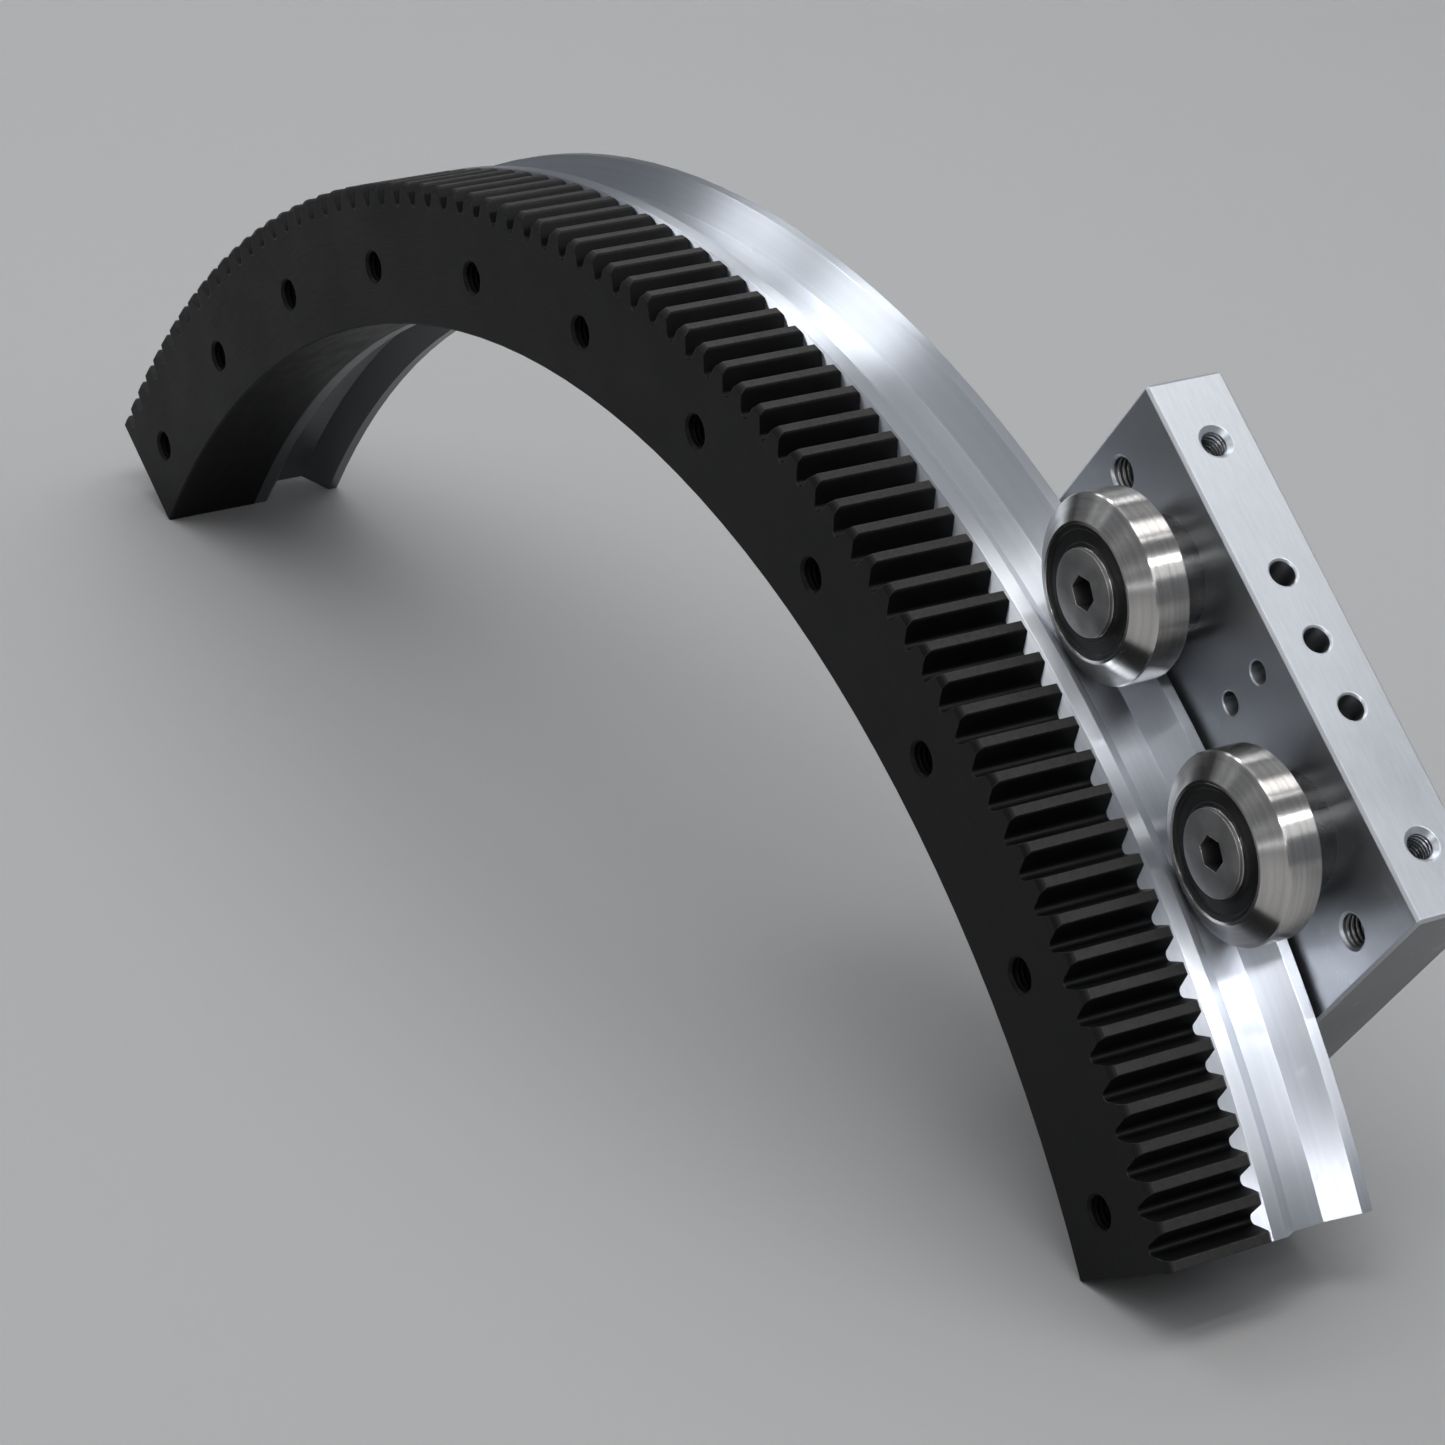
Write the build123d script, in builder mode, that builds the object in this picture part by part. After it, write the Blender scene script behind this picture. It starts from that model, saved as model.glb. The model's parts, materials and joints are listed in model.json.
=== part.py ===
"""Arc rack and V-groove arc rail with a four-roller carriage.

Millimetres, +Z up.  Everything is drawn with the ring axis as the Y axis: the
rack's front face lies in y = 0 and looks along -Y, the rail is bolted behind it,
and the carriage plate is behind the rail.  Angles are measured in the XZ plane
from +X towards +Z.  On export the whole part moves so that the origin is the
middle of its footprint, at the level of the arc's feet.
"""
import os
from math import acos, cos, degrees, pi, radians, sin, sqrt, tan

from build123d import *

# ---- toothed rack --------------------------------------------------------
MODULE = 3.0
TEETH_FULL_CIRCLE = 222
TEETH = 72
PRESSURE_ANGLE = 20.0
RACK_WIDTH = 30.0
RING_R_IN = 296.0
END_TRIM = 0.20            # degrees kept beyond the last tooth's centre line
PITCH_R = MODULE * TEETH_FULL_CIRCLE / 2
BASE_R = PITCH_R * cos(radians(PRESSURE_ANGLE))
TIP_R = PITCH_R + MODULE
ROOT_R = PITCH_R - 1.25 * MODULE
FLANK_FOOT_R = ROOT_R + 0.95
TIP_BEVEL_FRONT = 1.6
TIP_BEVEL_REAR = 0.8
PITCH_DEG = 360 / TEETH_FULL_CIRCLE
HALF_ARC = (TEETH - 1) / 2 * PITCH_DEG + END_TRIM

FOOT_CENTRE = (0.9, 42.15, 157.87)   # the exported origin, seen from the ring's centre

# ---- tapped holes through the rack, for fixing it to a machine -------------
HOLES = 11
HOLE_CIRCLE_R = 312.5
HOLE_STEP = 10.92
HOLE_SHIFT = -0.27         # the hole pattern sits a little nearer the right end
TAP_R = 4.25

# ---- screws and dowels between them, from the rail's rear into the rack ----
SCREW_STEPS = (-4.5, -2.5, -1.5, -0.5, 0.5, 1.5, 2.5, 4.5)
DOWEL_STEPS = (-3.5, 3.5)
SCREW_THREAD_R = 3.4
SCREW_THREAD_DEPTH = 15.0
SCREW_SHANK_R = 3.9
SCREW_CLEARANCE_R = 4.5
SCREW_HEAD_R = 6.5
SCREW_HEAD_H = 5.0
SCREW_SOCKET_AF = 5.0
SCREW_SOCKET_DEPTH = 3.0
SCREW_SINK_R = 7.25
SCREW_SINK_DEPTH = 6.5
DOWEL_R = 4.0
DOWEL_DEPTH = 10.0

# ---- arc rail --------------------------------------------------------------
RAIL_WIDTH = 30.0
RAIL_FRONT = RACK_WIDTH
RAIL_REAR = RAIL_FRONT + RAIL_WIDTH
GROOVE_Y = RAIL_FRONT + 15.5
GROOVE_DEPTH = 6.8
GROOVE_FLOOR_HALF = 4.4
RAIL_EDGE_BREAK = 0.25
GROOVE_TOP_HALF = GROOVE_FLOOR_HALF + GROOVE_DEPTH

# ---- rollers ---------------------------------------------------------------
CROWN_R = 24.0
CROWN_HALF = 4.75
ROLLER_HALF = 8.5
FACE_R = 17.6
SEAL_SEAT_R = 16.8
SEAL_T = 1.2
SEAL_SEAT_DEPTH = 1.5
SHOULDER_R = 16.2
INNER_RING_R = 11.2
LIP_R = 11.25
BALL_CIRCLE_R = 13.75
BALL_R = 3.5
BALLS = 9
RACE_GAP = 0.05
CAGE_R_IN = 12.6
CAGE_R_OUT = 14.9
CAGE_HALF = 4.6
POCKET_R = 3.65
STUD_R = 6.0
FLANK_GAP = 0.45           # along Y, between a crown's edge and the groove
ROLLER_HALF_ANGLE = 5.89
OUTER_AXIS_R = (TIP_R - GROOVE_DEPTH) + CROWN_R + CROWN_HALF - GROOVE_FLOOR_HALF + FLANK_GAP
INNER_AXIS_R = (RING_R_IN + GROOVE_DEPTH) - CROWN_R - CROWN_HALF + GROOVE_FLOOR_HALF - FLANK_GAP

# ---- carriage --------------------------------------------------------------
CARRIAGE_ANGLE = 53.20
PLATE_LENGTH = 150.0
PLATE_OUT = 378.0          # outer long edge, from the ring axis along the centre radius
PLATE_IN = 254.0
PLATE_FRONT = RAIL_REAR + 1.5
PLATE_T = 22.8
PLATE_REAR = PLATE_FRONT + PLATE_T
PLATE_BEVEL = 0.8
NUT_SINK_R = 12.5
NUT_SINK_DEPTH = 9.3
WASHER_R = 11.9
WASHER_T = 2.0
NUT_AF = 19.0
NUT_T = 6.0
M8_TAP_R = 3.4
M8_MOUTH_R = 4.7
M10_TAP_R = 4.25
M10_MOUTH_R = 4.9
FACE_HOLE_ALONG = 64.5
FACE_HOLE_OUT = 353.6
FACE_HOLE_IN = PLATE_OUT + PLATE_IN - FACE_HOLE_OUT
FACE_HOLE_DEPTH = 16.0
PIN_HOLE_R = 3.0
PIN_HOLE_DEPTH = 6.0
PIN_MOUTH_R = 3.3
PIN_HOLE_RADII = (366.2, 351.1)
EDGE_TAP_ALONG = 56.4
EDGE_BORE_ALONG = 18.8
EDGE_BORE_R = 3.5
EDGE_BORE_MOUTH_R = 4.0
EDGE_DEPTH = 16.0
COLLAR_R = 15.0
COLLAR_BOSS_R = 10.5
COLLAR_BOSS_H = 1.0
HEAD_R = 11.0
HEAD_T = 1.0
SOCKET_AF = 8.0
SOCKET_DEPTH = 6.0

os.makedirs("parts", exist_ok=True)


def involute(a):
    """Involute function of an angle in radians."""
    return tan(a) - a


def tooth_half_angle(r):
    """Half of a tooth's angular thickness at radius r, in degrees."""
    at_pitch = 90 / TEETH_FULL_CIRCLE
    return at_pitch + degrees(involute(radians(PRESSURE_ANGLE)) - involute(acos(BASE_R / r)))


def polar(r, a):
    """Point in a sketch at radius r and angle a in degrees."""
    return (r * cos(radians(a)), r * sin(radians(a)))


def ring_point(r, a, y=0.0):
    """Point at radius r from the ring axis, at angle a in degrees."""
    return (r * cos(radians(a)), y, r * sin(radians(a)))


def facing_front(r, a, y):
    """Plane at a ring position that looks towards the front, -Y."""
    return Plane(origin=ring_point(r, a, y), x_dir=(cos(radians(a)), 0, sin(radians(a))), z_dir=(0, -1, 0))


def facing_rear(r, a, y):
    """Plane at a ring position that looks towards the rear, +Y."""
    return Plane(origin=ring_point(r, a, y), x_dir=(cos(radians(a)), 0, sin(radians(a))), z_dir=(0, 1, 0))


def arc_section(start_angle):
    """Plane through the ring axis: x is the radius, y the ring axis."""
    a = radians(start_angle)
    return Plane(origin=(0, 0, 0), x_dir=(cos(a), 0, sin(a)), z_dir=(-sin(a), 0, cos(a)))


def on_carriage(along_radius, along_rail, y):
    """Point given in the carriage's own directions."""
    a = radians(CARRIAGE_ANGLE)
    x = along_radius * cos(a) - along_rail * sin(a)
    z = along_radius * sin(a) + along_rail * cos(a)
    return (x, y, z)


def carriage_face(along_radius, along_rail, y, z_dir):
    """Plane on the carriage whose x runs along the carriage's centre radius."""
    a = radians(CARRIAGE_ANGLE)
    return Plane(origin=on_carriage(along_radius, along_rail, y), x_dir=(cos(a), 0, sin(a)), z_dir=z_dir)


def carriage_edge(along_rail, y):
    """Plane on the plate's outer long side, looking out along the radius."""
    a = radians(CARRIAGE_ANGLE)
    return Plane(
        origin=on_carriage(PLATE_OUT, along_rail, y),
        x_dir=(-sin(a), 0, cos(a)),
        z_dir=(cos(a), 0, sin(a)),
    )


HOLE_ANGLES = [90 + HOLE_SHIFT + (i - (HOLES - 1) / 2) * HOLE_STEP for i in range(HOLES)]
SCREW_ANGLES = [90 + HOLE_SHIFT + step * HOLE_STEP for step in SCREW_STEPS]
DOWEL_ANGLES = [90 + HOLE_SHIFT + step * HOLE_STEP for step in DOWEL_STEPS]
ROLLERS = {
    "out_up": (OUTER_AXIS_R, CARRIAGE_ANGLE + ROLLER_HALF_ANGLE),
    "out_low": (OUTER_AXIS_R, CARRIAGE_ANGLE - ROLLER_HALF_ANGLE),
    "in_up": (INNER_AXIS_R, CARRIAGE_ANGLE + ROLLER_HALF_ANGLE),
    "in_low": (INNER_AXIS_R, CARRIAGE_ANGLE - ROLLER_HALF_ANGLE),
}

# ---- arc rack: teeth cut straight across, tips bevelled at both faces ------
with BuildPart() as arc_rack:
    with BuildSketch(Plane.XZ.offset(-RACK_WIDTH)) as tooth_sketch:
        with BuildLine() as outline:
            end_low, end_high = 90 - HALF_ARC, 90 + HALF_ARC
            angle = 90 - (TEETH - 1) / 2 * PITCH_DEG
            tip_half = tooth_half_angle(TIP_R)
            foot_half = tooth_half_angle(FLANK_FOOT_R)
            # the first tooth is trimmed by the end cut, just outside its tip
            Line(polar(RING_R_IN, end_low), polar(TIP_R, end_low))
            RadiusArc(polar(TIP_R, end_low), polar(TIP_R, angle + tip_half), -TIP_R)
            for tooth in range(TEETH):
                if tooth:
                    gap_middle = angle - PITCH_DEG / 2
                    ThreePointArc(
                        polar(FLANK_FOOT_R, angle - PITCH_DEG + foot_half),
                        polar(ROOT_R, gap_middle),
                        polar(FLANK_FOOT_R, angle - foot_half),
                    )
                    ThreePointArc(
                        polar(FLANK_FOOT_R, angle - foot_half),
                        polar(PITCH_R, angle - tooth_half_angle(PITCH_R)),
                        polar(TIP_R, angle - tip_half),
                    )
                    if tooth < TEETH - 1:
                        Line(polar(TIP_R, angle - tip_half), polar(TIP_R, angle + tip_half))
                if tooth < TEETH - 1:
                    ThreePointArc(
                        polar(TIP_R, angle + tip_half),
                        polar(PITCH_R, angle + tooth_half_angle(PITCH_R)),
                        polar(FLANK_FOOT_R, angle + foot_half),
                    )
                angle += PITCH_DEG
            last = angle - PITCH_DEG
            RadiusArc(polar(TIP_R, last - tip_half), polar(TIP_R, end_high), -TIP_R)
            Line(polar(TIP_R, end_high), polar(RING_R_IN, end_high))
            RadiusArc(polar(RING_R_IN, end_high), polar(RING_R_IN, end_low), RING_R_IN)
        make_face()
    extrude(amount=RACK_WIDTH)
    # bevels on the tips at the front and rear faces, and on the bore's front edge
    with BuildSketch(arc_section(90 + HALF_ARC + 1)):
        with BuildLine():
            Polyline(
                (TIP_R - TIP_BEVEL_FRONT, -1), (TIP_R + 1, -1), (TIP_R + 1, TIP_BEVEL_FRONT + 1),
                (TIP_R - TIP_BEVEL_FRONT, 0), close=True,
            )
        make_face()
        with BuildLine():
            Polyline(
                (TIP_R - TIP_BEVEL_REAR, RACK_WIDTH + 1), (TIP_R + 1, RACK_WIDTH + 1),
                (TIP_R + 1, RACK_WIDTH - TIP_BEVEL_REAR - 1),
                (TIP_R - TIP_BEVEL_REAR, RACK_WIDTH), close=True,
            )
        make_face()
        with BuildLine():
            Polyline((RING_R_IN - 1, -1), (RING_R_IN + 0.5, -1), (RING_R_IN + 0.5, 0),
                     (RING_R_IN - 1, 1.5), close=True)
        make_face()
    revolve(axis=Axis.Y, revolution_arc=2 * HALF_ARC + 2, mode=Mode.SUBTRACT)
    for a in HOLE_ANGLES:
        with BuildSketch(facing_front(HOLE_CIRCLE_R, a, RACK_WIDTH)):
            Circle(TAP_R)
        extrude(amount=RACK_WIDTH, mode=Mode.SUBTRACT)
        with BuildSketch(facing_front(HOLE_CIRCLE_R, a, 0)):
            Circle(TAP_R + 0.7)
        extrude(amount=-0.7, taper=45, mode=Mode.SUBTRACT)
    for a in SCREW_ANGLES:
        with BuildSketch(facing_front(HOLE_CIRCLE_R, a, RACK_WIDTH)):
            Circle(SCREW_THREAD_R)
        extrude(amount=SCREW_THREAD_DEPTH, mode=Mode.SUBTRACT)
    for a in DOWEL_ANGLES:
        with BuildSketch(facing_front(HOLE_CIRCLE_R, a, RACK_WIDTH)):
            Circle(DOWEL_R)
        extrude(amount=DOWEL_DEPTH, mode=Mode.SUBTRACT)

# ---- arc rail: the same trapezoid groove outside and in the bore -----------
with BuildPart() as arc_rail:
    with BuildSketch(arc_section(90 + HALF_ARC)):
        with BuildLine():
            b = RAIL_EDGE_BREAK
            Polyline(
                (RING_R_IN + b, RAIL_FRONT), (TIP_R - b, RAIL_FRONT), (TIP_R, RAIL_FRONT + b),
                (TIP_R, GROOVE_Y - GROOVE_TOP_HALF),
                (TIP_R - GROOVE_DEPTH, GROOVE_Y - GROOVE_FLOOR_HALF),
                (TIP_R - GROOVE_DEPTH, GROOVE_Y + GROOVE_FLOOR_HALF),
                (TIP_R, GROOVE_Y + GROOVE_TOP_HALF),
                (TIP_R, RAIL_REAR - b), (TIP_R - b, RAIL_REAR), (RING_R_IN + b, RAIL_REAR),
                (RING_R_IN, RAIL_REAR - b),
                (RING_R_IN, GROOVE_Y + GROOVE_TOP_HALF),
                (RING_R_IN + GROOVE_DEPTH, GROOVE_Y + GROOVE_FLOOR_HALF),
                (RING_R_IN + GROOVE_DEPTH, GROOVE_Y - GROOVE_FLOOR_HALF),
                (RING_R_IN, GROOVE_Y - GROOVE_TOP_HALF),
                (RING_R_IN, RAIL_FRONT + b), close=True,
            )
        make_face()
    revolve(axis=Axis.Y, revolution_arc=2 * HALF_ARC)
    for a in SCREW_ANGLES:
        with BuildSketch(facing_rear(HOLE_CIRCLE_R, a, RAIL_FRONT)):
            Circle(SCREW_CLEARANCE_R)
        extrude(amount=RAIL_WIDTH, mode=Mode.SUBTRACT)
        with BuildSketch(facing_front(HOLE_CIRCLE_R, a, RAIL_REAR)):
            Circle(SCREW_SINK_R)
        extrude(amount=SCREW_SINK_DEPTH, mode=Mode.SUBTRACT)
    for a in DOWEL_ANGLES:
        with BuildSketch(facing_rear(HOLE_CIRCLE_R, a, RAIL_FRONT)):
            Circle(DOWEL_R)
        extrude(amount=DOWEL_DEPTH, mode=Mode.SUBTRACT)

# ---- low-head socket screws, rear of the rail into the rack ----------------
with BuildPart() as rail_screws:
    seat_y = RAIL_REAR - SCREW_SINK_DEPTH
    for a in SCREW_ANGLES:
        with BuildSketch(facing_rear(HOLE_CIRCLE_R, a, seat_y)):
            Circle(SCREW_HEAD_R)
        extrude(amount=SCREW_HEAD_H)
        with BuildSketch(facing_front(HOLE_CIRCLE_R, a, seat_y)):
            Circle(SCREW_SHANK_R)
        extrude(amount=seat_y - RAIL_FRONT)
        with BuildSketch(facing_front(HOLE_CIRCLE_R, a, RAIL_FRONT)):
            Circle(SCREW_THREAD_R)
        extrude(amount=SCREW_THREAD_DEPTH)
        with BuildSketch(facing_front(HOLE_CIRCLE_R, a, seat_y + SCREW_HEAD_H)):
            RegularPolygon(radius=SCREW_SOCKET_AF / sqrt(3), side_count=6)
        extrude(amount=SCREW_SOCKET_DEPTH, mode=Mode.SUBTRACT)

with BuildPart() as rail_dowels:
    for a in DOWEL_ANGLES:
        with BuildSketch(facing_rear(HOLE_CIRCLE_R, a, RAIL_FRONT - DOWEL_DEPTH)):
            Circle(DOWEL_R)
        extrude(amount=2 * DOWEL_DEPTH)

# ---- carriage plate ---------------------------------------------------------
with BuildPart() as carriage_plate:
    middle = (PLATE_OUT + PLATE_IN) / 2
    with BuildSketch(carriage_face(middle, 0, PLATE_FRONT, (0, 1, 0))):
        Rectangle(PLATE_OUT - PLATE_IN, PLATE_LENGTH)
    extrude(amount=PLATE_T)
    chamfer(carriage_plate.edges(), length=PLATE_BEVEL)
    for r, a in ROLLERS.values():
        with BuildSketch(facing_rear(r, a, PLATE_FRONT)):
            Circle(STUD_R)
        extrude(amount=PLATE_T, mode=Mode.SUBTRACT)
        with BuildSketch(facing_front(r, a, PLATE_REAR)):
            Circle(NUT_SINK_R)
        extrude(amount=NUT_SINK_DEPTH, mode=Mode.SUBTRACT)
    for radius in (FACE_HOLE_OUT, FACE_HOLE_IN):
        for side in (-1, 1):
            with BuildSketch(carriage_face(radius, side * FACE_HOLE_ALONG, PLATE_FRONT, (0, 1, 0))):
                Circle(M10_TAP_R)
            extrude(amount=FACE_HOLE_DEPTH, mode=Mode.SUBTRACT)
            with BuildSketch(carriage_face(radius, side * FACE_HOLE_ALONG, PLATE_FRONT, (0, 1, 0))):
                Circle(M10_MOUTH_R)
            extrude(amount=M10_MOUTH_R - M10_TAP_R, taper=45, mode=Mode.SUBTRACT)
    for radius in PIN_HOLE_RADII:
        with BuildSketch(carriage_face(radius, 0, PLATE_FRONT, (0, 1, 0))):
            Circle(PIN_HOLE_R)
        extrude(amount=PIN_HOLE_DEPTH, mode=Mode.SUBTRACT)
        with BuildSketch(carriage_face(radius, 0, PLATE_FRONT, (0, 1, 0))):
            Circle(PIN_MOUTH_R)
        extrude(amount=PIN_MOUTH_R - PIN_HOLE_R, taper=45, mode=Mode.SUBTRACT)
    half_way = PLATE_FRONT + PLATE_T / 2
    for along in (-EDGE_TAP_ALONG, EDGE_TAP_ALONG):
        with BuildSketch(carriage_edge(along, half_way)):
            Circle(M8_TAP_R)
        extrude(amount=-EDGE_DEPTH, mode=Mode.SUBTRACT)
        with BuildSketch(carriage_edge(along, half_way)):
            Circle(M8_MOUTH_R)
        extrude(amount=-(M8_MOUTH_R - M8_TAP_R), taper=45, mode=Mode.SUBTRACT)
    for along in (-EDGE_BORE_ALONG, 0, EDGE_BORE_ALONG):
        with BuildSketch(carriage_edge(along, half_way)):
            Circle(EDGE_BORE_R)
        extrude(amount=-EDGE_DEPTH, mode=Mode.SUBTRACT)
        with BuildSketch(carriage_edge(along, half_way)):
            Circle(EDGE_BORE_MOUTH_R)
        extrude(amount=-(EDGE_BORE_MOUTH_R - EDGE_BORE_R), taper=45, mode=Mode.SUBTRACT)

# ---- studs, collars, washers and nuts: one of each at every roller ----------
with BuildPart() as roller_studs:
    for r, a in ROLLERS.values():
        with BuildSketch(facing_front(r, a, GROOVE_Y - ROLLER_HALF)):
            Circle(HEAD_R)
        extrude(amount=HEAD_T)
        with BuildSketch(facing_rear(r, a, GROOVE_Y - ROLLER_HALF)):
            Circle(STUD_R)
        extrude(amount=PLATE_REAR - 0.6 - GROOVE_Y + ROLLER_HALF)
        socket = Plane(origin=ring_point(r, a, GROOVE_Y - ROLLER_HALF - HEAD_T), x_dir=(1, 0, 0), z_dir=(0, 1, 0))
        with BuildSketch(socket):
            RegularPolygon(radius=SOCKET_AF / sqrt(3), side_count=6)
        extrude(amount=SOCKET_DEPTH, mode=Mode.SUBTRACT)

with BuildPart() as spacer_collars:
    for r, a in ROLLERS.values():
        start = GROOVE_Y + ROLLER_HALF
        with BuildSketch(facing_rear(r, a, start)):
            Circle(COLLAR_BOSS_R)
            Circle(STUD_R, mode=Mode.SUBTRACT)
        extrude(amount=COLLAR_BOSS_H)
        with BuildSketch(facing_rear(r, a, start + COLLAR_BOSS_H)):
            Circle(COLLAR_R)
            Circle(STUD_R, mode=Mode.SUBTRACT)
        extrude(amount=PLATE_FRONT - start - COLLAR_BOSS_H)

with BuildPart() as stud_washers:
    for r, a in ROLLERS.values():
        with BuildSketch(facing_rear(r, a, PLATE_REAR - NUT_SINK_DEPTH)):
            Circle(WASHER_R)
            Circle(STUD_R, mode=Mode.SUBTRACT)
        extrude(amount=WASHER_T)

with BuildPart() as stud_nuts:
    for r, a in ROLLERS.values():
        with BuildSketch(facing_rear(r, a, PLATE_REAR - NUT_SINK_DEPTH + WASHER_T)):
            RegularPolygon(radius=NUT_AF / sqrt(3), side_count=6)
            Circle(STUD_R, mode=Mode.SUBTRACT)
        extrude(amount=NUT_T)


def roller_section(r, a):
    """Plane through a roller's axis: x is the roller's radius, y its axis."""
    return Plane(origin=ring_point(r, a, GROOVE_Y), x_dir=(1, 0, 0), z_dir=(0, 0, 1))


def roller_axis(r, a):
    return Axis(ring_point(r, a, GROOVE_Y), (0, 1, 0))


with BuildPart() as inner_rings:
    for r, a in ROLLERS.values():
        with BuildSketch(roller_section(r, a)):
            with Locations(((STUD_R + INNER_RING_R) / 2, 0)):
                Rectangle(INNER_RING_R - STUD_R, 2 * ROLLER_HALF)
            with Locations((BALL_CIRCLE_R, 0)):
                Circle(BALL_R + RACE_GAP, mode=Mode.SUBTRACT)
        revolve(axis=roller_axis(r, a))

finished = {
    "arc_rack": arc_rack,
    "arc_rail": arc_rail,
    "rail_screws": rail_screws,
    "rail_dowels": rail_dowels,
    "carriage_plate": carriage_plate,
    "roller_studs": roller_studs,
    "spacer_collars": spacer_collars,
    "stud_washers": stud_washers,
    "stud_nuts": stud_nuts,
    "inner_rings": inner_rings,
}

# ---- each roller's turning pieces -------------------------------------------
for name, (r, a) in ROLLERS.items():
    section, axis = roller_section(r, a), roller_axis(r, a)

    with BuildPart() as roller_ring:
        with BuildSketch(section):
            with BuildLine():
                e = 0.3
                face_y, seat_y = ROLLER_HALF, ROLLER_HALF - SEAL_SEAT_DEPTH
                Polyline(
                    (SEAL_SEAT_R, -face_y), (FACE_R, -face_y),
                    (CROWN_R - e, -CROWN_HALF - e * 0.55), (CROWN_R, -CROWN_HALF + e),
                    (CROWN_R, CROWN_HALF - e), (CROWN_R - e, CROWN_HALF + e * 0.55),
                    (FACE_R, face_y), (SEAL_SEAT_R, face_y), (SEAL_SEAT_R, seat_y),
                    (SHOULDER_R, seat_y), (SHOULDER_R, -seat_y), (SEAL_SEAT_R, -seat_y), close=True,
                )
            make_face()
            with Locations((BALL_CIRCLE_R, 0)):
                Circle(BALL_R + RACE_GAP, mode=Mode.SUBTRACT)
        revolve(axis=axis)
    finished["roller_ring_" + name] = roller_ring

    for side, word in ((-1, "front"), (1, "rear")):
        with BuildPart() as seal:
            with BuildSketch(section):
                with BuildLine():
                    inner_y = side * (ROLLER_HALF - SEAL_SEAT_DEPTH)
                    outer_y = side * (ROLLER_HALF - SEAL_SEAT_DEPTH + SEAL_T)
                    Polyline(
                        (LIP_R, inner_y), (SEAL_SEAT_R, inner_y), (SEAL_SEAT_R, outer_y),
                        (SEAL_SEAT_R - 1.1, outer_y), (SEAL_SEAT_R - 1.5, outer_y - side * 0.35),
                        (LIP_R + 1.2, outer_y - side * 0.35), (LIP_R + 0.8, outer_y),
                        (LIP_R, outer_y), close=True,
                    )
                make_face()
            revolve(axis=axis)
        finished["seal_" + word + "_" + name] = seal

    centre = ring_point(r, a, GROOVE_Y)
    ball_spots = [
        (centre[0] + BALL_CIRCLE_R * cos(2 * pi * k / BALLS), centre[1],
         centre[2] + BALL_CIRCLE_R * sin(2 * pi * k / BALLS))
        for k in range(BALLS)
    ]
    with BuildPart() as ball_set:
        with Locations(*ball_spots):
            Sphere(BALL_R)
    finished["balls_" + name] = ball_set

    with BuildPart() as ball_cage:
        with BuildSketch(section):
            with Locations(((CAGE_R_IN + CAGE_R_OUT) / 2, 0)):
                Rectangle(CAGE_R_OUT - CAGE_R_IN, 2 * CAGE_HALF)
        revolve(axis=axis)
        for k in range(BALLS):
            turn = 2 * pi * k / BALLS
            outward = (cos(turn), 0, sin(turn))
            with BuildSketch(Plane(origin=ball_spots[k], x_dir=(0, 1, 0), z_dir=outward)):
                Circle(POCKET_R)
            extrude(amount=3, both=True, mode=Mode.SUBTRACT)
    finished["cage_" + name] = ball_cage

for name, item in finished.items():
    item.part = Pos(*(-c for c in FOOT_CENTRE)) * item.part
    item.part.label = name
    export_step(item.part, "parts/" + name + ".step")

print("half arc", round(HALF_ARC, 3), "outer axis", OUTER_AXIS_R, "inner axis", INNER_AXIS_R)
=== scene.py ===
"""Arc rack, V-groove arc rail and roller carriage: looks, light and camera."""
import json
import math

import bmesh
import bpy
from mathutils import Matrix, Quaternion, Vector


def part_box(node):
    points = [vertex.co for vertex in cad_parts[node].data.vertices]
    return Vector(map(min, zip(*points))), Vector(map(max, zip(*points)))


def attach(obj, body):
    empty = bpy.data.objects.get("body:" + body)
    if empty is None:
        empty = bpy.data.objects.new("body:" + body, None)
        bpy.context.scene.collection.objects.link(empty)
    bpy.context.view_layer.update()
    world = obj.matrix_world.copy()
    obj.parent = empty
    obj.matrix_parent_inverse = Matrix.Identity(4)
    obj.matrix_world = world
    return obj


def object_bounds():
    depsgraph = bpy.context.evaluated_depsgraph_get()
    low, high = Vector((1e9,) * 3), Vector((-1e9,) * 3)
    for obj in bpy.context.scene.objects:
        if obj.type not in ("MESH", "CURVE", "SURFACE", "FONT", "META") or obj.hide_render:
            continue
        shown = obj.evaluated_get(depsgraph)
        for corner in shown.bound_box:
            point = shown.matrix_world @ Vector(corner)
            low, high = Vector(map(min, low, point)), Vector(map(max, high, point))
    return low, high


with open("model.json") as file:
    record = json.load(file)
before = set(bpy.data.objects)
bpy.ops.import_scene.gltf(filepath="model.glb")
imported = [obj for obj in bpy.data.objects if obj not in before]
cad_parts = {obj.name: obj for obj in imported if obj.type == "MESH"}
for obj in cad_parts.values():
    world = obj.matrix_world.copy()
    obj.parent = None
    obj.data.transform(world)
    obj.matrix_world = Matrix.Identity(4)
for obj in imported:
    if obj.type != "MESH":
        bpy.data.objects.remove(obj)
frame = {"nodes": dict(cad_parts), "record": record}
CAD_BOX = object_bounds()
NODES = frame["nodes"]

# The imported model, in metres. Rack and rail share one axis, parallel to Y.
RING_CENTRE = (-0.0009, -0.04215, -0.15787)
TOOTH_TIP_RADIUS = 0.336
CARRIAGE_ANGLE = math.radians(53.20)
PLATE_UPWARD = (-math.sin(CARRIAGE_ANGLE), 0, math.cos(CARRIAGE_ANGLE))
PLATE_DOWNWARD = tuple(-part for part in PLATE_UPWARD)
FRONT = (0, -1, 0)
ROLLER_NAMES = ("out_up", "out_low", "in_up", "in_low")

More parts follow.
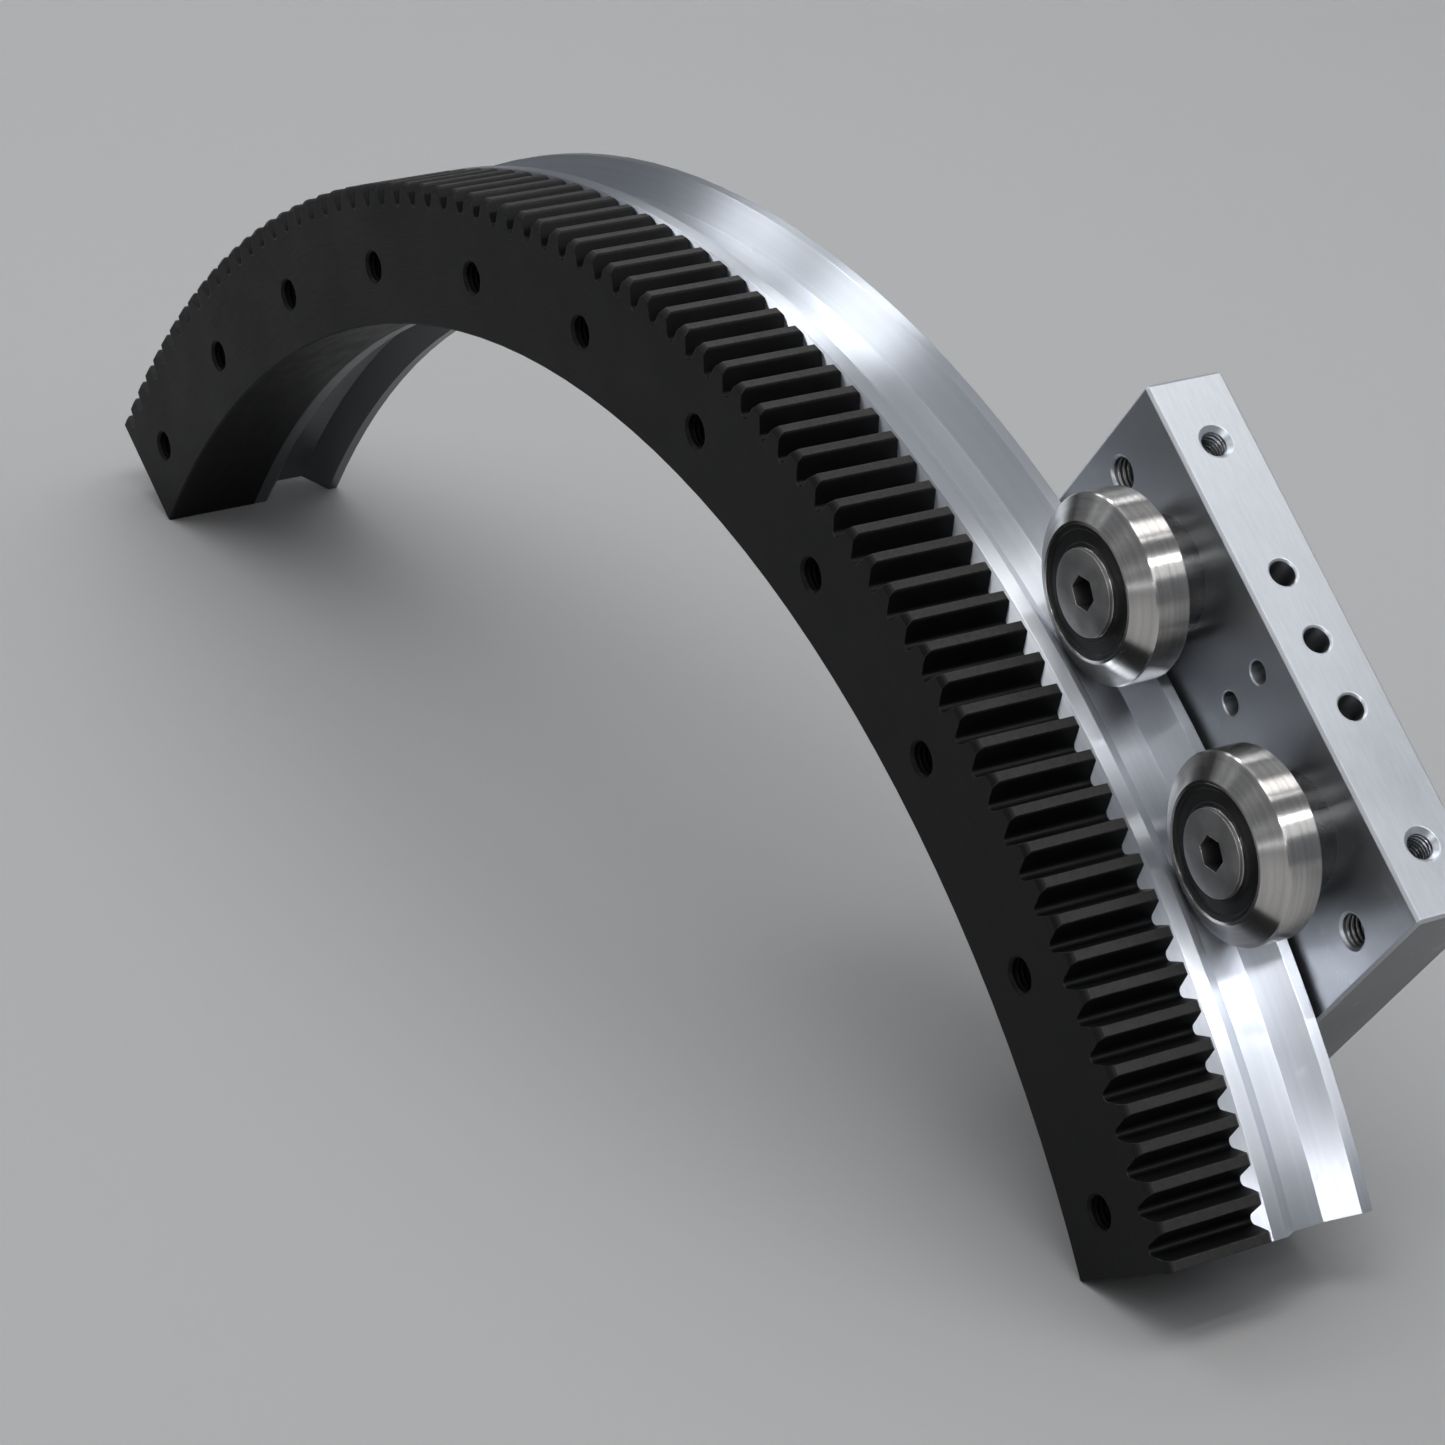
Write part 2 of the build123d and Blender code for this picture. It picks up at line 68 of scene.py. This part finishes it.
# The photograph's view.
CAMERA_SENSOR_MM, CAMERA_LENS_MM = 36.0, 120.81
CAMERA_CLIP = (0.05, 30.0)
CAMERA_PLACE = (1.03037, -0.65289, 0.62810)
CAMERA_TURN = (0.734694, 0.470333, 0.242432, 0.424544)

# Screw threads in the tapped holes, in metres.
M10_PITCH, M8_PITCH = 0.0015, 0.00125
THREAD_HEIGHT = 0.00030
THREAD_IN_WALL = 0.00006
THREAD_HALF_WIDTH = 0.42  # of the pitch
THREAD_STEPS = 28  # in one turn
PLATE_THREAD_LENGTH = 0.0140

FLOOR_HALF_WIDTH = 12.0
FLOOR_GREY, FLOOR_ROUGHNESS = (0.34, 0.34, 0.343), 0.85

# The strip lamps stand round this point at the arc's middle, parallel to the ring axis.
LAMP_AIM = Vector((0.05, 0, 0.06))
COOLER, COOL = (0.96, 0.98, 1.0), (0.97, 0.98, 1.0)
PALE, WARM = (0.98, 0.98, 1.0), (1.0, 0.99, 0.98)
STRIPS = (
    # name, degrees above +X, distance, width, length, radiance, colour,
    # whether it lights matt surfaces, shift along Y
    ("strip_low_right", 33.0, 1.7, 0.34, 1.6, 2.2, COOL, False, 0.0),
    ("strip_right", 44.5, 1.7, 0.13, 2.0, 17.0, COOL, False, 0.0),
    ("strip_upper_right", 69.0, 1.7, 0.07, 1.8, 6.0, PALE, True, 0.0),
    ("strip_top", 82.5, 1.6, 0.44, 2.0, 3.5, WARM, True, 0.0),
    ("strip_high_left", 107.0, 1.7, 0.55, 2.0, 0.5, PALE, False, 0.0),
    ("strip_left", 127.0, 1.7, 0.18, 2.0, 6.2, COOLER, True, 0.0),
    ("strip_far_left", 143.0, 1.8, 0.26, 1.8, 2.3, COOLER, True, 0.0),
    ("strip_front", 22.0, 1.7, 0.16, 1.6, 12.0, PALE, False, -2.5),
)
OVERHEAD_WIDTH, OVERHEAD_HEIGHT, OVERHEAD_RADIANCE = 14.0, 4.0, 0.62
WORLD_COLOUR, WORLD_STRENGTH = (0.80, 0.84, 0.90), 0.19


def add_object(name, data):
    made = bpy.data.objects.new(name, data)
    bpy.context.scene.collection.objects.link(made)
    return made


def make_camera():
    data = bpy.data.cameras.new("camera")
    data.sensor_width = CAMERA_SENSOR_MM
    data.lens = CAMERA_LENS_MM
    data.clip_start, data.clip_end = CAMERA_CLIP
    cam = add_object("camera", data)
    cam.rotation_mode = "QUATERNION"
    cam.location = CAMERA_PLACE
    cam.rotation_quaternion = Quaternion(CAMERA_TURN)
    bpy.context.scene.camera = cam


# ---- node helpers ----------------------------------------------------------------
class Shader:
    """A material with a Principled shader, and short ways to add its nodes."""

    SOFT_SAMPLES = 6

    def __init__(self, name, **sockets):
        self.mat = bpy.data.materials.new(name)
        self.mat.use_nodes = True
        self.tree = self.mat.node_tree
        self.bsdf = self.fill(self.tree.nodes["Principled BSDF"], **sockets)

    def node(self, kind, **settings):
        made = self.tree.nodes.new("ShaderNode" + kind)
        for key, value in settings.items():
            setattr(made, key, value)
        return made

    def put(self, socket, value):
        """Links another node's output into a socket, or sets a number, vector or colour on it."""
        if isinstance(value, bpy.types.NodeSocket):
            self.tree.links.new(value, socket)
        elif value is not None:
            socket.default_value = (*value, 1.0) if socket.type == "RGBA" else value

    def fill(self, made, **sockets):
        """Puts values into a node's inputs, each named with _ for a space."""
        for key, value in sockets.items():
            self.put(made.inputs[key.replace("_", " ")], value)
        return made

    # -- numbers and vectors
    def math(self, operation, a, b=None, clamp=False):
        made = self.node("Math", operation=operation, use_clamp=clamp)
        self.put(made.inputs[0], a)
        self.put(made.inputs[1], b)
        return made.outputs[0]

    def plus(self, a, b):
        return self.math("ADD", a, b)

    def minus(self, a, b):
        return self.math("SUBTRACT", a, b)

    def times(self, a, b, clamp=False):
        return self.math("MULTIPLY", a, b, clamp)

    def vector(self, operation, a, b=None, output="Vector"):
        made = self.node("VectorMath", operation=operation)
        self.put(made.inputs[0], a)
        self.put(made.inputs[1], b)
        return made.outputs[output]

    def dot(self, a, b):
        return self.vector("DOT_PRODUCT", a, b, "Value")

    def unit(self, vector):
        return self.vector("NORMALIZE", vector)

    def combine(self, x, y, z):
        packed = self.node("CombineXYZ")
        for socket, value in zip(packed.inputs, (x, y, z)):
            self.put(socket, value)
        return packed.outputs[0]

    def to_world(self, vector):
        turned = self.node("VectorTransform", vector_type="VECTOR",
                           convert_from="OBJECT", convert_to="WORLD")
        self.put(turned.inputs[0], vector)
        return self.unit(turned.outputs[0])

    def remap(self, value, low, high, to_low=0.0, to_high=1.0):
        made = self.fill(self.node("MapRange", clamp=True), Value=value,
                         From_Min=low, From_Max=high, To_Min=to_low, To_Max=to_high)
        return made.outputs["Result"]

    # -- places on the object
    def object_coords(self, centre=(0, 0, 0)):
        """The point on the surface in the object's frame, measured from a centre."""
        return self.vector("SUBTRACT", self.node("TexCoord").outputs["Object"], centre)

    def from_centre(self, centre):
        """x, y and z of the surface, measured from a centre."""
        split = self.node("SeparateXYZ")
        self.put(split.inputs[0], self.object_coords(centre))
        return split.outputs[:]

    def outward(self, centre):
        """From an axis parallel to Y straight out to the surface, in the object's frame."""
        x, _, z = self.from_centre(centre)
        return self.combine(x, 0.0, z)

    def distance(self, x, z):
        return self.math("SQRT", self.plus(self.times(x, x), self.times(z, z)))

    def radius(self, centre):
        """Distance from an axis parallel to Y."""
        x, _, z = self.from_centre(centre)
        return self.distance(x, z)

    def round_coords(self, centre, across, around, along):
        """Coordinates for marks that run round an axis parallel to Y."""
        x, y, z = self.from_centre(centre)
        return self.combine(self.times(self.distance(x, z), across),
                            self.times(y, along),
                            self.times(self.math("ARCTAN2", z, x), around))

    def turned_coords(self, angle, scale):
        """Object coordinates turned about Y, then scaled along each new axis."""
        turn = self.fill(self.node("Mapping", vector_type="POINT"),
                         Vector=self.object_coords(), Rotation=(0, angle, 0))
        return self.vector("MULTIPLY", turn.outputs[0], scale)

    # -- noises, and masks from 0 to 1
    def noise(self, coords, scale, detail, rough=0.55):
        made = self.fill(self.node("TexNoise"), Vector=coords,
                         Scale=scale, Detail=detail, Roughness=rough)
        return made.outputs["Fac"]

    def vary(self, noise, low, high):
        """Spreads a noise's usual range between two values."""
        return self.remap(noise, 0.3, 0.7, low, high)

    def facing(self, direction, low=0.8, high=0.95):
        """1 where the surface faces a direction given in the object's own frame."""
        normal = self.node("TexCoord").outputs["Normal"]
        return self.remap(self.dot(normal, direction), low, high)

    def facing_axis(self, centre):
        """1 where the surface faces in towards an axis parallel to Y."""
        return self.facing(self.unit(self.outward(centre)), -0.3, -0.6)

    def edge_wear(self, radius, breakup, low=0.05, high=0.4):
        """1 along outside and inside edges, broken up by a noise."""
        normal = self.node("NewGeometry").outputs["Normal"]
        bent = self.minus(1.0, self.dot(self.soft_normal(radius), normal))
        return self.times(self.remap(bent, low, high), breakup, clamp=True)

    def cavity(self, distance, low, high):
        """1 deep in holes and corners, 0 on open faces."""
        shade = self.node("AmbientOcclusion", samples=self.SOFT_SAMPLES, only_local=True)
        self.fill(shade, Distance=distance)
        return self.remap(shade.outputs["AO"], low, high, 1.0, 0.0)

    # -- colours
    def mix(self, factor, a, b):
        """Colour a where the factor is 0, colour b where it is 1."""
        made = self.node("Mix", data_type="RGBA")
        self.put(made.inputs["Factor"], factor)
        self.put(made.inputs[6], a)
        self.put(made.inputs[7], b)
        return made.outputs[2]

    def over(self, base, colour, mask, amount):
        """The base turned towards a colour, by an amount, where the mask is 1."""
        return self.mix(self.times(mask, amount), base, colour)

    # -- normals, and the direction of the marks for the anisotropic shine
    def soft_normal(self, radius):
        """The surface normal, rounded over at the edges."""
        soft = self.node("Bevel", samples=self.SOFT_SAMPLES)
        return self.fill(soft, Radius=radius).outputs[0]

    def leaning_normal(self, normal, centre, lean, mask):
        """Leans a normal outward from an axis parallel to Y, where the mask is 1."""
        scaled = self.fill(self.node("VectorMath", operation="SCALE"),
                           Vector=self.to_world(self.outward(centre)),
                           Scale=self.times(mask, lean))
        return self.unit(self.vector("ADD", normal, scaled.outputs[0]))

    def bump(self, height, distance, strength, under):
        made = self.fill(self.node("Bump"), Height=height, Distance=distance,
                         Strength=strength, Normal=under)
        return made.outputs[0]

    def round_grooves(self, centre):
        """World direction of marks that run round an axis parallel to Y."""
        x, _, z = self.from_centre(centre)
        return self.to_world(self.combine(self.times(z, -1.0), 0.0, x))

    def straight_grooves(self, direction):
        """World direction of marks that run along a direction in the object's frame."""
        return self.to_world(self.combine(*direction))

    def finish(self, colour, roughness, normal, tangent=None):
        self.fill(self.bsdf, Base_Color=colour, Roughness=roughness, Normal=normal,
                  Tangent=tangent)
        return self.mat


def scaled_colour(colour, factor):
    return tuple(channel * factor for channel in colour)


# ---- materials -------------------------------------------------------------------
# Softened edges and bumps are in metres, and a noise's scale is per metre.
QUARTER_TURN = 0.25  # lays the shine of each anisotropic metal along its marks


def black_oxide(name, tint, worn, edge, gloss=0.155, tip_radius=None):
    """Black oxide on machined steel: satin, slightly clouded, thinner on edges and tooth tips."""
    dust, rubbed = (0.045, 0.043, 0.040), (0.036, 0.0345, 0.033)
    s = Shader(name, Metallic=0.10, Specular_IOR_Level=gloss)
    place = s.object_coords()
    cloud = s.noise(place, 38, 5)
    grain = s.noise(place, 2600, 2)
    streak = s.noise(s.round_coords(RING_CENTRE, 2400, 30, 240), 1.0, 4, 0.6)
    specks = s.remap(s.noise(place, 520, 4, 0.7), 0.66, 0.74)
    wear = s.edge_wear(edge, s.remap(s.noise(place, 420, 4), 0.42, 0.62), 0.05, 0.5)

    base = s.mix(s.remap(cloud, 0.35, 0.7), tint, scaled_colour(tint, 1.6))
    base = s.over(base, dust, specks, 0.25)
    if tip_radius:
        tips = s.remap(s.radius(RING_CENTRE), tip_radius - 0.0009, tip_radius - 0.0001)
        patchy = s.vary(s.noise(place, 700, 4, 0.7), 0.55, 1.0)
        base = s.over(base, rubbed, tips, patchy)
    colour = s.over(base, worn, wear, 0.6)

    rough = s.plus(s.vary(cloud, 0.40, 0.50), s.vary(streak, -0.04, 0.05))
    rough = s.minus(rough, s.times(wear, 0.1))
    normal = s.bump(grain, 0.00003, 0.4, s.soft_normal(0.00035))
    return s.finish(colour, rough, s.bump(streak, 0.00004, 0.45, normal))


def turned_steel():
    """The rail: fine turning marks round the ring axis, with a few brighter bands, and painted
    shade on the faces towards the axis.
    """
    blue_grey, pale_grey = (0.58, 0.605, 0.65), (0.63, 0.655, 0.70)
    smudged, inner_face_shade, worn = (0.48, 0.50, 0.54), (0.125, 0.13, 0.13), (0.80, 0.82, 0.85)
    s = Shader("rail_steel", Metallic=1.0, Anisotropic=0.90, Anisotropic_Rotation=QUARTER_TURN)
    fine = s.noise(s.round_coords(RING_CENTRE, 9000, 6, 9000), 1.0, 3)
    band = s.noise(s.round_coords(RING_CENTRE, 420, 1.2, 420), 1.0, 3)
    smudge = s.noise(s.object_coords(), 24, 5, 0.6)
    spots = s.remap(s.noise(s.object_coords(), 300, 3), 0.62, 0.74)
    wear = s.edge_wear(0.0005, s.remap(smudge, 0.3, 0.5))

    base = s.mix(s.remap(band, 0.35, 0.65), blue_grey, pale_grey)
    base = s.mix(s.remap(smudge, 0.45, 0.75, 0.0, 0.3), base, smudged)
    # Painted shade: the faces towards the ring axis are darkened.
    base = s.over(base, inner_face_shade, s.facing_axis(RING_CENTRE), 0.82)
    colour = s.mix(wear, base, worn)

    rough = s.plus(s.vary(fine, 0.28, 0.33), s.remap(smudge, 0.4, 0.7, 0.0, 0.06))
    rough = s.plus(rough, s.times(spots, 0.05))
    normal = s.leaning_normal(s.soft_normal(0.0002), RING_CENTRE, 1.1, s.facing(FRONT))
    normal = s.bump(band, 0.00001, 0.10, normal)
    normal = s.bump(fine, 0.00001, 0.25, normal)
    return s.finish(colour, rough, normal, s.round_grooves(RING_CENTRE))


def brushed_plate():
    """Brushing along the plate's length, hazy smudges, bright worn edges, painted shade on the
    front face, on the lower end and in the holes.
    """
    blue_grey, pale_grey = (0.585, 0.612, 0.652), (0.625, 0.652, 0.692)
    front_face_shade, lower_end_shade, marked = (0.34, 0.349, 0.359), (0.215, 0.217, 0.22), (0.68, 0.71, 0.76)
    hole_shade, worn = (0.09, 0.09, 0.09), (0.82, 0.84, 0.86)
    s = Shader("plate_aluminium", Metallic=1.0, Anisotropic=0.5, Anisotropic_Rotation=QUARTER_TURN)
    lines = s.noise(s.turned_coords(CARRIAGE_ANGLE, (4600, 4600, 230)), 1.0, 4, 0.6)
    wide = s.noise(s.turned_coords(CARRIAGE_ANGLE, (1100, 1100, 150)), 1.0, 4, 0.6)
    cloud = s.noise(s.object_coords(), 21, 6, 0.62)
    marks = s.remap(s.noise(s.object_coords((0.3, 0, 0.1)), 95, 5, 0.7), 0.60, 0.70)
    wear = s.edge_wear(0.0008, s.remap(s.noise(s.object_coords(), 260, 4), 0.3, 0.55), 0.04, 0.35)
    lower_end = s.facing(PLATE_DOWNWARD)
    front = s.facing(FRONT)

    base = s.mix(s.remap(wide, 0.35, 0.65), blue_grey, pale_grey)
    # Painted shade: the faces towards the front are darkened.
    base = s.over(base, front_face_shade, front, 0.75)
    # Painted shade: the downward-facing lower end is darkened.
    base = s.over(base, lower_end_shade, lower_end, 0.95)
    base = s.over(base, marked, marks, 0.18)
    # Painted shade: darkened deep in the holes, where ambient occlusion finds them.
    base = s.over(base, hole_shade, s.cavity(0.018, 0.02, 0.45), 0.70)
    colour = s.over(base, worn, wear, 0.8)

    rough = s.plus(s.vary(cloud, 0.36, 0.47), s.vary(lines, -0.04, 0.05))
    rough = s.plus(rough, s.times(marks, 0.02))
    rough = s.minus(rough, s.times(front, 0.10))
    normal = s.bump(cloud, 0.0001, 0.03, s.soft_normal(0.0003))
    normal = s.bump(lines, 0.000016, 0.4, normal)
    return s.finish(colour, rough, normal, s.straight_grooves(PLATE_UPWARD))


def ground_steel(name, centre):
    """A roller, ground round its own axis."""
    dark, light, worn = (0.52, 0.505, 0.485), (0.64, 0.625, 0.605), (0.78, 0.78, 0.78)
    s = Shader(name, Metallic=1.0, Anisotropic=0.92, Anisotropic_Rotation=QUARTER_TURN)
    fine = s.noise(s.round_coords(centre, 14000, 3, 14000), 1.0, 2)
    band = s.noise(s.round_coords(centre, 900, 0.8, 900), 1.0, 3)
    haze = s.noise(s.object_coords(), 120, 5, 0.6)
    scratch = s.remap(s.noise(s.round_coords(centre, 2600, 9, 2600), 1.0, 5, 0.7), 0.63, 0.72)
    wear = s.edge_wear(0.0004, s.remap(haze, 0.3, 0.55))

    base = s.mix(s.remap(band, 0.35, 0.65), dark, light)
    base = s.over(base, scaled_colour(dark, 0.7), scratch, 0.06)
    colour = s.over(base, worn, wear, 0.35)

    rough = s.plus(s.vary(fine, 0.238, 0.262), s.remap(haze, 0.35, 0.7, 0.0, 0.015))
    rough = s.plus(rough, s.times(scratch, 0.015))
    normal = s.bump(band, 0.000003, 0.1, s.soft_normal(0.00012))
    normal = s.bump(fine, 0.000003, 0.15, normal)
    return s.finish(colour, rough, normal, s.round_grooves(centre))


def cloudy_roughness(s, cloud, rough, marks, amount):
    """A roughness that varies with the clouds, and is higher where the marks are 1."""
    return s.plus(s.vary(cloud, rough - 0.05, rough + 0.06), s.times(marks, amount))


def plain_metal(name, low, high, rough, hollow_shade=0.0):
    """Satin metal with no lay. Painted shade darkens its hollows, by the amount given."""
    shade_black, worn = (0.012, 0.012, 0.012), (0.80, 0.80, 0.80)
    s = Shader(name, Metallic=1.0)
    cloud = s.noise(s.object_coords(), 150, 5, 0.6)
    fine = s.noise(s.object_coords(), 1400, 3)
    marks = s.remap(s.noise(s.object_coords((0.1, 0.2, 0)), 420, 5, 0.75), 0.58, 0.68)
    wear = s.edge_wear(0.0004, s.remap(cloud, 0.3, 0.55))

    base = s.mix(s.remap(cloud, 0.35, 0.7), low, high)
    base = s.over(base, scaled_colour(low, 0.6), marks, 0.3)
    # Painted shade: the hollows are darkened towards black where ambient occlusion finds them.
    if hollow_shade:
        base = s.over(base, shade_black, s.cavity(0.02, 0.1, 0.7), hollow_shade)
    colour = s.over(base, worn, wear, 0.8)
    return s.finish(colour, cloudy_roughness(s, cloud, rough, marks, 0.08),
                    s.bump(fine, 0.00001, 0.4, s.soft_normal(0.0002)))


def moulded(name, low, high, rough):
    """Rubber or moulded plastic, with a little pale dust."""
    s = Shader(name, Metallic=0.0, Specular_IOR_Level=0.36)
    cloud = s.noise(s.object_coords(), 160, 5, 0.6)
    fine = s.noise(s.object_coords(), 1900, 3)
    dust = s.remap(s.noise(s.object_coords(), 900, 4, 0.7), 0.60, 0.72)
    dusty = tuple(min(0.9, channel + 0.10) for channel in low)

    colour = s.over(s.mix(s.remap(cloud, 0.35, 0.7), low, high), dusty, dust, 0.10)
    return s.finish(colour, cloudy_roughness(s, cloud, rough, dust, 0.1),
                    s.bump(fine, 0.00002, 0.4, s.soft_normal(0.00015)))


def box_centre(node):
    low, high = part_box(node)
    return (Vector(low) + Vector(high)) / 2


def dress(material, *nodes):
    for node in nodes:
        for holder in NODES[node].material_slots:
            holder.material = material


def dress_all():
    dress(black_oxide("black_oxide_steel", (0.0036, 0.0038, 0.0042), (0.17, 0.165, 0.16), 0.0005,
                      tip_radius=TOOTH_TIP_RADIUS), "arc_rack")
    dress(turned_steel(), "arc_rail")
    dress(brushed_plate(), "carriage_plate")
    dress(black_oxide("black_screws", (0.018, 0.018, 0.020), (0.16, 0.16, 0.16), 0.0004),
          "rail_screws")
    dress(plain_metal("stud_steel", (0.56, 0.555, 0.55), (0.68, 0.675, 0.67), 0.46, hollow_shade=0.97),
          "rail_dowels", "stud_washers", "stud_nuts")
    dress(plain_metal("stud_head_steel", (0.40, 0.398, 0.395), (0.50, 0.497, 0.493), 0.44,
                      hollow_shade=0.97), "roller_studs")
    dress(plain_metal("collar_steel", (0.15, 0.148, 0.145), (0.22, 0.217, 0.213), 0.24),
          "spacer_collars")
    dress(plain_metal("inner_ring_steel", (0.62, 0.61, 0.60), (0.70, 0.69, 0.68), 0.20),
          "inner_rings")
    rubber = moulded("seal_rubber", (0.0035, 0.0035, 0.0035), (0.009, 0.009, 0.009), 0.44)
    polymer = moulded("cage_polymer", (0.55, 0.50, 0.40), (0.64, 0.60, 0.50), 0.45)
    balls = plain_metal("ball_steel", (0.74, 0.74, 0.75), (0.80, 0.80, 0.81), 0.10)
    for name in ROLLER_NAMES:
        ring = "roller_ring_" + name
        dress(ground_steel("roller_steel_" + name, box_centre(ring)), ring)
        dress(rubber, "seal_front_" + name, "seal_rear_" + name)
        dress(balls, "balls_" + name)
        dress(polymer, "cage_" + name)


# ---- screw threads in the tapped holes -------------------------------------------
def add_thread(mesh, mouth, inward, radius, pitch, length):
    """One closed helical ridge on the wall of a hole, tapered out at both ends."""
    side = inward.orthogonal().normalized()
    up = inward.cross(side)
    total = int((length - pitch) / pitch * THREAD_STEPS)
    half_turn = THREAD_STEPS / 2
    wall = radius + THREAD_IN_WALL
    rings = []
    for i in range(total + 1):
        turn = 2 * math.pi * i / THREAD_STEPS
        out = side * math.cos(turn) + up * math.sin(turn)
        centre = mouth + inward * (pitch * (0.5 + i / THREAD_STEPS))
        taper = min(1.0, (i + 1) / half_turn, (total + 1 - i) / half_turn)
        half = inward * (THREAD_HALF_WIDTH * pitch * taper)
        rings.append([mesh.verts.new(centre + out * wall - half),
                      mesh.verts.new(centre + out * (radius - THREAD_HEIGHT * taper)),
                      mesh.verts.new(centre + out * wall + half)])
    mesh.faces.new(rings[0])
    mesh.faces.new(rings[-1][::-1])
    for a, b in zip(rings, rings[1:]):
        for j in range(3):
            k = (j + 1) % 3
            mesh.faces.new((a[j], b[j], b[k], a[k]))


def thread_piece(name, body, material, holes):
    work = bmesh.new()
    for hole in holes:
        add_thread(work, *hole)
    bmesh.ops.recalc_face_normals(work, faces=work.faces)
    mesh = bpy.data.meshes.new(name)
    work.to_mesh(mesh)
    work.free()
    mesh.materials.append(material)
    piece = add_object(name, mesh)
    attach(piece, body)


def rack_tap_holes(mounts):
    """The holes in the rack's face, threaded along their whole length."""
    holes = []
    for name, mount in mounts.items():
        if name.startswith("front_tap"):
            outward, size = Vector(mount["axis"]), mount["dims"]
            length = size["length_mm"] / 1000
            mouth = Vector(mount["pos_m"]) + outward * (length / 2)
            holes.append((mouth, -outward, size["r_mm"] / 1000, M10_PITCH, length))
    return holes


def plate_tap_holes(mounts, names, pitch):
    """The plate's holes: each mount is a pair, placed either side of its middle."""
    holes = []
    for name in names:
        outward, size = Vector(mounts[name]["axis"]), mounts[name]["dims"]
        for sign in (-1, 1):
            offset = Vector(PLATE_UPWARD) * (sign * size["pcd_mm"] / 2000)
            mouth = Vector(mounts[name]["pos_m"]) + offset
            holes.append((mouth, -outward, size["hole_r_mm"] / 1000, pitch, PLATE_THREAD_LENGTH))
    return holes


def make_threads():
    mounts = {mount["name"]: mount for mount in frame["record"]["mounts"]}
    # Painted shade: the rack's threads are a darker copy of its black oxide, with dark worn edges.
    thread_piece("rack_threads", "arc",
                 black_oxide("shaded_thread_black_oxide", (0.002, 0.002, 0.0022),
                             (0.012, 0.012, 0.012), 0.0001, gloss=0.07),
                 rack_tap_holes(mounts))
    # Painted shade: the plate's threads are darker copies of its aluminium.
    thread_piece("plate_face_threads", "carriage",
                 plain_metal("shaded_face_thread_aluminium", (0.13, 0.125, 0.12), (0.20, 0.19, 0.18),
                             0.36, hollow_shade=0.9),
                 plate_tap_holes(mounts, ("plate_taps_outer", "plate_taps_inner"), M10_PITCH))
    thread_piece("plate_edge_threads", "carriage",
                 plain_metal("shaded_edge_thread_aluminium", (0.27, 0.28, 0.30), (0.40, 0.415, 0.435),
                             0.26, hollow_shade=0.92),
                 plate_tap_holes(mounts, ("plate_edge_taps",), M8_PITCH))


# ---- floor and light -------------------------------------------------------------
def make_floor():
    mesh = bpy.data.meshes.new("floor")
    half, z = FLOOR_HALF_WIDTH, CAD_BOX[0][2]
    corners = [(-half, -half, z), (half, -half, z), (half, half, z), (-half, half, z)]
    mesh.from_pydata(corners, [], [(0, 1, 2, 3)])
    floor = add_object("floor", mesh)
    mesh.materials.append(Shader("floor", Roughness=FLOOR_ROUGHNESS, Base_Color=FLOOR_GREY).mat)


def area_lamp(name, width, length, radiance):
    data = bpy.data.lights.new(name, "AREA")
    data.shape = "RECTANGLE"
    data.size, data.size_y = width, length
    data.energy = radiance * math.pi * width * length
    lamp = add_object(name, data)
    lamp.visible_camera = False
    return lamp


def strip_light(name, degrees, distance, width, length, radiance, colour, lights_matt, shift):
    """A long lamp parallel to the ring axis, square to the line from LAMP_AIM before its shift."""
    lamp = area_lamp(name, width, length, radiance)
    lamp.data.color = colour
    angle = math.radians(degrees)
    away = Vector((math.cos(angle), 0, math.sin(angle)))
    across = Vector((0, 1, 0)).cross(away).normalized()
    facing = Matrix((across, away.cross(across), away)).transposed().to_4x4()
    place = LAMP_AIM + away * distance + Vector((0, shift, 0))
    lamp.matrix_world = Matrix.Translation(place) @ facing
    lamp.visible_diffuse = lights_matt


def overhead_fill():
    """A wide soft lamp that lights the floor evenly and doesn't show in reflections."""
    lamp = area_lamp("overhead", OVERHEAD_WIDTH, OVERHEAD_WIDTH, OVERHEAD_RADIANCE)
    lamp.location = (0, 0, OVERHEAD_HEIGHT)
    lamp.visible_glossy = False


def make_light():
    world = bpy.data.worlds.new("world")
    bpy.context.scene.world = world
    world.use_nodes = True
    background = world.node_tree.nodes["Background"]
    background.inputs["Color"].default_value = (*WORLD_COLOUR, 1)
    background.inputs["Strength"].default_value = WORLD_STRENGTH
    for strip in STRIPS:
        strip_light(*strip)
    overhead_fill()


bpy.context.scene.view_settings.view_transform = "Standard"
make_camera()
dress_all()
make_threads()
make_floor()
make_light()
